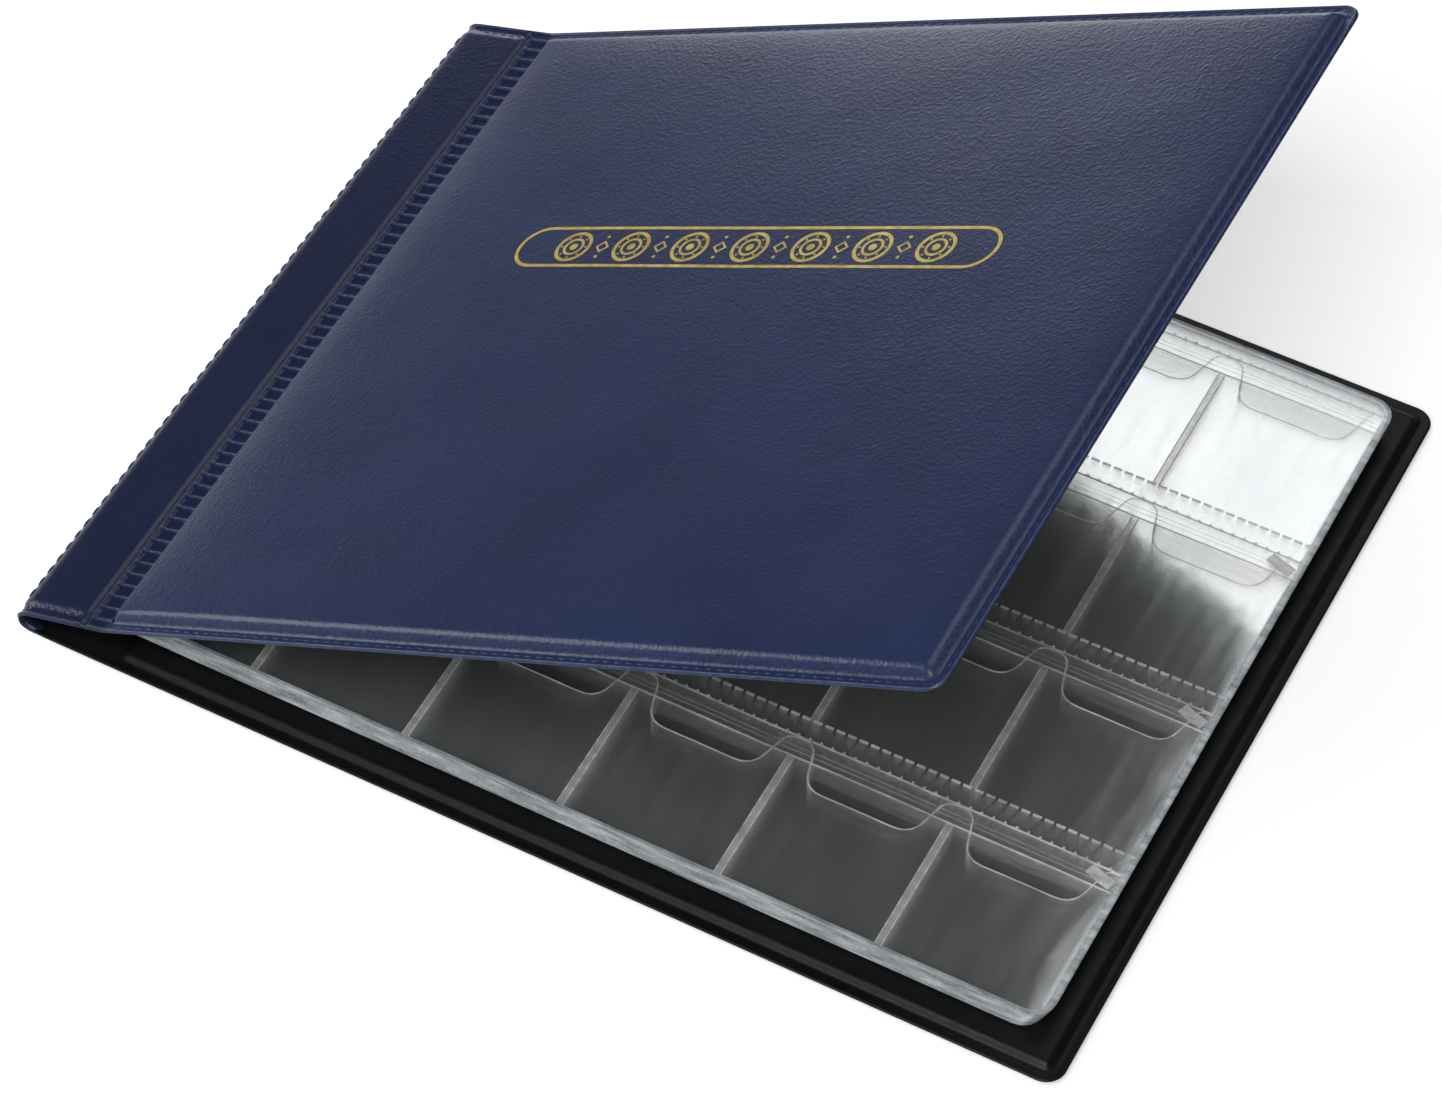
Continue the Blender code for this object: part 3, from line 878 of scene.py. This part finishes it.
def make_ornament():
    """Gold foil on the cover: a long ring round a row of plain coins and lozenges, with no lettering."""
    builder = Builder()
    foil_ring(builder, stadium(FOIL_LENGTH, FOIL_WIDTH), FOIL_LINE)
    for number in range(COIN_COUNT):
        x = (number - (COIN_COUNT - 1) / 2) * COIN_PITCH
        foil_ring(builder, circle(x, 0.0, 5.1 * MM, 40), FOIL_LINE)
        foil_ring(builder, circle(x, 0.0, 2.9 * MM, 28), 0.7 * MM)
        foil_ring(builder, circle(x, 0.0, 1.1 * MM, 16), 1.05 * MM)
        for pearl_x, pearl_y in circle(x, 0.0, PEARL_RING, PEARL_COUNT):
            foil_ring(builder, circle(pearl_x, pearl_y, 0.32 * MM, 8), 0.3 * MM)
    for number in range(COIN_COUNT - 1):
        x = (number - (COIN_COUNT - 2) / 2) * COIN_PITCH
        foil_ring(builder, circle(x, 0.0, 2.0 * MM, 4), 0.7 * MM)
        for y in (DOT_Y, -DOT_Y):
            foil_ring(builder, circle(x, y, 0.5 * MM, 8), 0.48 * MM)
    foil = builder.make("title_ornament", "gold")
    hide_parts("front_foil")
    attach(foil, "front_cover")


# ---------------------------------------------------------------- leaves


class Leaf:
    """One leaf in its own x, y and lift: from the binding, from the near edge, and over its base."""

    def __init__(self, number):
        self.name = f"leaf_{number:02d}"
        low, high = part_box(self.name + "_back_sheet")
        self.corner = low
        self.width = high.x - low.x
        self.height = high.y - low.y
        self.top = number == LEAF_COUNT
        self.sway = FILM_SWAY * number / LEAF_COUNT
        self.bulge = TOP_BULGE if self.top else LOWER_BULGE

    def wave(self, x, y):
        """The slow unevenness of the whole leaf, which grows up the stack."""
        return self.sway * ripple(x, y + 0.1)

    def rounded(self, x, y):
        """Keeps a point of a film inside the leaf's two rounded corners."""
        past = x - (self.width - LEAF_CORNER)
        beyond = max(LEAF_CORNER - y, y - (self.height - LEAF_CORNER))
        away = math.hypot(past, beyond)
        if past <= 0 or beyond <= 0 or away <= LEAF_CORNER:
            return x, y
        pull = LEAF_CORNER / away
        centre_y = LEAF_CORNER if y < LEAF_CORNER else self.height - LEAF_CORNER
        return self.width - LEAF_CORNER + past * pull, centre_y + (y - centre_y) * pull

    def point(self, x, y, lift):
        x, y = self.rounded(x, y)
        return self.corner + Vector((x, y, lift + self.wave(x, y)))

    def pocket_point(self, x, y, lift):
        """On the pocket film, which stands off the back sheet between its welds."""
        column = (x % COLUMN_PITCH) / COLUMN_PITCH
        row = ((y - UPPER_WELD_Y) % ROW_PITCH) / ROW_PITCH
        puff = math.sin(math.pi * column) * math.sin(math.pi * min(row / 0.88, 1.0))
        return self.point(x, y, lift + self.bulge * puff)


def fillet(corner, before, after, radius, steps=5):
    """The points that round off a corner of an outline."""
    a, b, c = Vector(before), Vector(corner), Vector(after)
    first, second = (a - b).normalized(), (c - b).normalized()
    half = first.angle(second) / 2
    reach = min(radius / math.tan(half), (a - b).length * 0.49, (c - b).length * 0.49)
    start, end = b + first * reach, b + second * reach
    points = []
    for step in range(steps + 1):
        t = step / steps
        points.append(start * (1 - t) ** 2 + b * (2 * t * (1 - t)) + end * t * t)
    return points


def mouth_line(width):
    """The upper edge of a row of pockets, from the binding out: notches, and humps between them."""
    corners = [(0.0, HUMP_TOP_Y)]
    for column in range(COLUMNS):
        centre = (column + 0.5) * COLUMN_PITCH
        corners.append((centre - NOTCH_TOP_HALF, HUMP_TOP_Y))
        corners.append((centre - NOTCH_FLOOR_HALF, NOTCH_FLOOR_Y))
        corners.append((centre + NOTCH_FLOOR_HALF, NOTCH_FLOOR_Y))
        corners.append((centre + NOTCH_TOP_HALF, HUMP_TOP_Y))
    corners.append((width, HUMP_TOP_Y))
    line = [Vector(corners[0])]
    for number in range(1, len(corners) - 1):
        low = corners[number][1] == NOTCH_FLOOR_Y
        radius = NOTCH_RADIUS if low else HUMP_RADIUS
        line += fillet(corners[number], corners[number - 1], corners[number + 1], radius)
        if low and number % 4 == 2:
            start, end = line[-1], Vector((corners[number + 1][0] - 4.0 * MM, NOTCH_FLOOR_Y))
            line += [start.lerp(end, share) for share in (0.33, 0.67)]
    line.append(Vector(corners[-1]))
    return line


def ribbon(builder, leaf, line, width, lift, height, kind=0):
    """A low welded ridge that follows a line on the leaf."""
    loops = []
    for number, here in enumerate(line):
        before, after = line[max(number - 1, 0)], line[min(number + 1, len(line) - 1)]
        way = (after - before).normalized()
        side = Vector((-way.y, way.x)) * (width / 2)
        loop = []
        for across, rise in ((-1.0, 0.0), (1.0, 0.0), (0.5, 1.0), (-0.5, 1.0)):
            place = here + side * across
            loop.append(leaf.pocket_point(place.x, place.y, lift + height * rise))
        loops.append(loop)
    builder.tube(loops, kind)


def row_shift(row):
    return Vector((0.0, row * ROW_PITCH))


def pocket_foot(row, margin):
    """Where a row's pockets start: at the leaf's near margin, or at the weld of the row before."""
    return margin if row == 0 else UPPER_WELD_Y + (row - 1) * ROW_PITCH


def make_films(leaf):
    """The leaf's clear films: the back sheet, and the pockets with their flaps."""
    body = leaf.name
    reach, top_edge = leaf.width - FILM_MARGIN, leaf.height - FILM_MARGIN
    ys = spread(FILM_MARGIN, top_edge, 6.5 * MM)
    builder = Builder()
    builder.grid([[leaf.point(x, y, BACK_LIFT) for y in ys] for x in spread(0.0, reach, 6.0 * MM)])
    back = builder.make(leaf.name + "_back_film", "film")
    back.visible_shadow = False
    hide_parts(leaf.name + "_back_sheet")
    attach(back, body)
    builder = Builder()
    for row in range(ROWS):
        shift = row_shift(row)
        low = pocket_foot(row, FILM_MARGIN)
        columns = []
        for lip in mouth_line(reach):
            rise = (lip.y + shift.y - low) / POCKET_STEPS
            heights = [low + rise * step for step in range(POCKET_STEPS + 1)]
            columns.append([leaf.pocket_point(lip.x, y, POCKET_LIFT) for y in heights])
        builder.grid(columns)
        ys = spread(FLAP_EDGE_Y + shift.y, min(UPPER_WELD_Y + shift.y, top_edge), 2.2 * MM)
        builder.grid([[leaf.pocket_point(x, y, FLAP_LIFT) for y in ys] for x in spread(0.0, reach, 5.0 * MM)])
    pockets = builder.make(leaf.name + "_pocket_film", "film")
    pockets.visible_shadow = False
    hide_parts(leaf.name + "_pocket_sheet")
    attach(pockets, body)


def make_welds(leaf):
    """The leaf's raised and milky lines: border, pocket seams, row welds, and the cut edges of the film."""
    builder = Builder()
    border(builder, leaf)
    for row in range(ROWS):
        shift = row_shift(row)
        low = pocket_foot(row, MARGIN_NEAR)
        for column in range(1, COLUMNS):
            x = column * COLUMN_PITCH
            line = [Vector((x, y)) for y in spread(low, FLAP_EDGE_Y - 0.4 * MM + shift.y, 9.0 * MM)]
            ribbon(builder, leaf, line, SEAM_WIDTH, POCKET_LIFT, 0.05 * MM, 2)
            for side in (-1.0, 1.0):
                edge = [point + Vector((side * SEAM_WIDTH * 0.42, 0.0)) for point in line]
                ribbon(builder, leaf, edge, 0.30 * MM, POCKET_LIFT + 0.05 * MM, 0.04 * MM, 1)
        mouth = [point + shift for point in mouth_line(leaf.width - 1.6 * MM)]
        ribbon(builder, leaf, mouth, 0.42 * MM, POCKET_LIFT - 0.04 * MM, 0.10 * MM, 1)
        row_welds(builder, leaf, shift.y)
        if leaf.top and row < ROWS - 1:
            pucker = [Vector((x * MM, y * MM)) + shift for x, y in PUCKER]
            ribbon(builder, leaf, pucker, 3.0 * MM, FLAP_LIFT, 0.16 * MM, 1)
    kinds = ("edge", "weld", "seam") if leaf.top else ("edge", "deep_weld", "deep_seam")
    welds = builder.make(leaf.name + "_welds", *kinds, smooth_angle=40.0)
    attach(welds, leaf.name)


def border_corner(leaf, centre_y, start, margin):
    """A free corner's points on the leaf's edge and inside its margin, a quarter turn on from an angle."""
    x = leaf.width - LEAF_CORNER
    pairs = []
    for step in range(1, 7):
        angle = start + math.pi / 12 * step
        cos, sin = math.cos(angle), math.sin(angle)
        within = LEAF_CORNER - MARGIN_FREE * cos**2 - margin * sin**2
        outer = (x + LEAF_CORNER * cos, centre_y + LEAF_CORNER * sin)
        pairs.append((outer, (x + within * cos, centre_y + within * sin)))
    return pairs


def border(builder, leaf):
    """The welded margin round the leaf's three free sides, rounded at the two corners."""
    x_turn, y_turn = leaf.width - LEAF_CORNER, leaf.height - LEAF_CORNER
    pairs = [((x, 0.0), (x, MARGIN_NEAR)) for x in spread(0.0, x_turn, MARGIN_PITCH)]
    pairs += border_corner(leaf, LEAF_CORNER, -math.pi / 2, MARGIN_NEAR)
    for y in spread(LEAF_CORNER, y_turn, MARGIN_PITCH)[1:]:
        pairs.append(((leaf.width, y), (leaf.width - MARGIN_FREE, y)))
    pairs += border_corner(leaf, y_turn, 0.0, MARGIN_FAR)
    for x in spread(x_turn, 0.0, MARGIN_PITCH)[1:]:
        pairs.append(((x, leaf.height), (x, leaf.height - MARGIN_FAR)))
    loops = []
    for outer, inner in pairs:
        loop = []
        for share, lift in MARGIN_SECTION:
            x, y = (edge * (1.0 - share) + inside * share for edge, inside in zip(outer, inner))
            loop.append(leaf.point(x, y, lift))
        loops.append(loop)
    builder.tube(loops)


def row_welds(builder, leaf, shift):
    """A row's welds: dashes at the top, ticks below them, and the lines across."""
    reach = leaf.width - 1.8 * MM
    if shift + UPPER_WELD_Y < leaf.height - 2.0 * MM:
        for x in spread(DASH_PITCH / 2, reach, DASH_PITCH):
            dash(builder, leaf, x, UPPER_WELD_Y + shift, *DASH_SIZE)
    for x in spread(DASH_PITCH, reach, DASH_PITCH):
        dash(builder, leaf, x, LOWER_WELD_Y + shift + 0.35 * MM, *TICK_SIZE)
    for y, width, kind in ROW_LINES:
        line = [Vector((x, y + shift)) for x in spread(0.0, reach, 8.0 * MM)]
        ribbon(builder, leaf, line, width, FLAP_LIFT - 0.02 * MM, 0.09 * MM, kind)


def dash(builder, leaf, x, y, length, width):
    """One short press of the welding tool."""
    low, high = [], []
    for a, b in ((-1, -1), (1, -1), (1, 1), (-1, 1)):
        low.append(leaf.pocket_point(x + a * length / 2, y + b * width / 2, FLAP_LIFT - 0.03 * MM))
        high.append(leaf.pocket_point(x + a * length * 0.38, y + b * width * 0.34, FLAP_LIFT + 0.09 * MM))
    builder.tube([low, high], 1)


def make_binding():
    """The bound ends of the leaves: five tongues of film pressed into each of two blocks."""
    for name, body in (("binding_lower", "back_cover"), ("binding_upper", "spine_panel")):
        low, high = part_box(name)
        edge_high = high.z if name == "binding_lower" else low.z + UPPER_BLOCK_EDGE
        builder = Builder()
        for tongue in range(BLOCK_LEAVES):
            loops = []
            for x in (low.x, low.x + BLOCK_ROUND, (low.x + high.x) / 2, high.x - BLOCK_ROUND, high.x):
                share = (x - low.x) / (high.x - low.x)
                top = edge_high + (high.z - edge_high) * share
                step = (top - low.z) / BLOCK_LEAVES
                gap = 0.12 if x in (low.x, high.x) else 0.03
                base, crest = low.z + step * (tongue + gap), low.z + step * (tongue + 1 - gap)
                loops.append([(x, low.y, base), (x, high.y, base), (x, high.y, crest), (x, low.y, crest)])
            builder.tube([[Vector(point) for point in loop] for loop in loops])
        block = builder.make(name + "_stack", "edge", smooth_angle=40.0)
        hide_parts(name)
        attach(block, body)


def make_leaves():
    for number in range(1, LEAF_COUNT + 1):
        leaf = Leaf(number)
        make_films(leaf)
        make_welds(leaf)


# ---------------------------------------------------------------- studio


def make_floor():
    """White paper that glows a little near the album, just under it."""
    mesh = bpy.data.meshes.new("floor")
    signs = ((-1, -1), (1, -1), (1, 1), (-1, 1))
    corners = [(x * FLOOR_REACH, y * FLOOR_REACH, -FLOOR_DROP) for x, y in signs]
    mesh.from_pydata(corners, [], [(0, 1, 2, 3)])
    paper = Shader("floor_paper", Roughness=0.9, Emission_Color=(1.0, 1.0, 1.0, 1.0))
    away = paper.node("VectorMath", {"operation": "LENGTH"}, Vector=paper.place).outputs["Value"]
    paper.link("Emission Strength", paper.level(away, 0.42, 0.06, 0.30, 0.95))
    paper.link("Base Color", paper.ramp(paper.noise(3.0), (0.90, 0.90, 0.90), (0.93, 0.93, 0.93)))
    mesh.materials.append(paper.material)
    floor = bpy.data.objects.new("floor", mesh)
    bpy.context.scene.collection.objects.link(floor)


def softbox(name, azimuth, elevation, distance, size, radiance):
    """A rectangular area light that looks at the album. Azimuth 0 is +X and 90 is +Y."""
    a, e = math.radians(azimuth), math.radians(elevation)
    light = bpy.data.lights.new(name, "AREA")
    light.shape = "RECTANGLE"
    light.size, light.size_y = size
    light.energy = radiance * math.pi * size[0] * size[1]
    lamp = bpy.data.objects.new(name, light)
    lamp.location = Vector((math.cos(a) * math.cos(e), math.sin(a) * math.cos(e), math.sin(e))) * distance
    lamp.rotation_euler = (-lamp.location).to_track_quat("-Z", "Y").to_euler()
    bpy.context.scene.collection.objects.link(lamp)


def make_studio():
    make_floor()
    for values in SOFTBOXES:
        softbox(*values)
    world = bpy.data.worlds.new("studio")
    world.use_nodes = True
    background = world.node_tree.nodes["Background"].inputs
    background["Color"].default_value = (1.0, 1.0, 1.0, 1.0)
    background["Strength"].default_value = WORLD_STRENGTH
    scene = bpy.context.scene
    scene.world = world
    scene.view_settings.view_transform = "Standard"
    scene.cycles.transparent_max_bounces = 64
    scene.cycles.max_bounces = 6


def make_camera():
    data = bpy.data.cameras.new("camera")
    data.lens = CAMERA_LENS
    data.sensor_width = 36.0
    data.clip_start = 0.05
    data.clip_end = 30.0
    camera = bpy.data.objects.new("camera", data)
    azimuth, elevation = CAMERA_AZIMUTH, CAMERA_ELEVATION
    back = Vector((math.sin(azimuth), -math.cos(azimuth), math.tan(elevation))) * math.cos(elevation)
    camera.location = CAMERA_TARGET + back * CAMERA_DISTANCE
    camera.rotation_euler = (-back).to_track_quat("-Z", "Y").to_euler()
    bpy.context.scene.collection.objects.link(camera)
    bpy.context.scene.camera = camera


make_camera()
make_skins()
make_linings()
make_ladders()
make_stitches()
make_ornament()
make_leaves()
make_binding()
make_inner_layers()
make_studio()
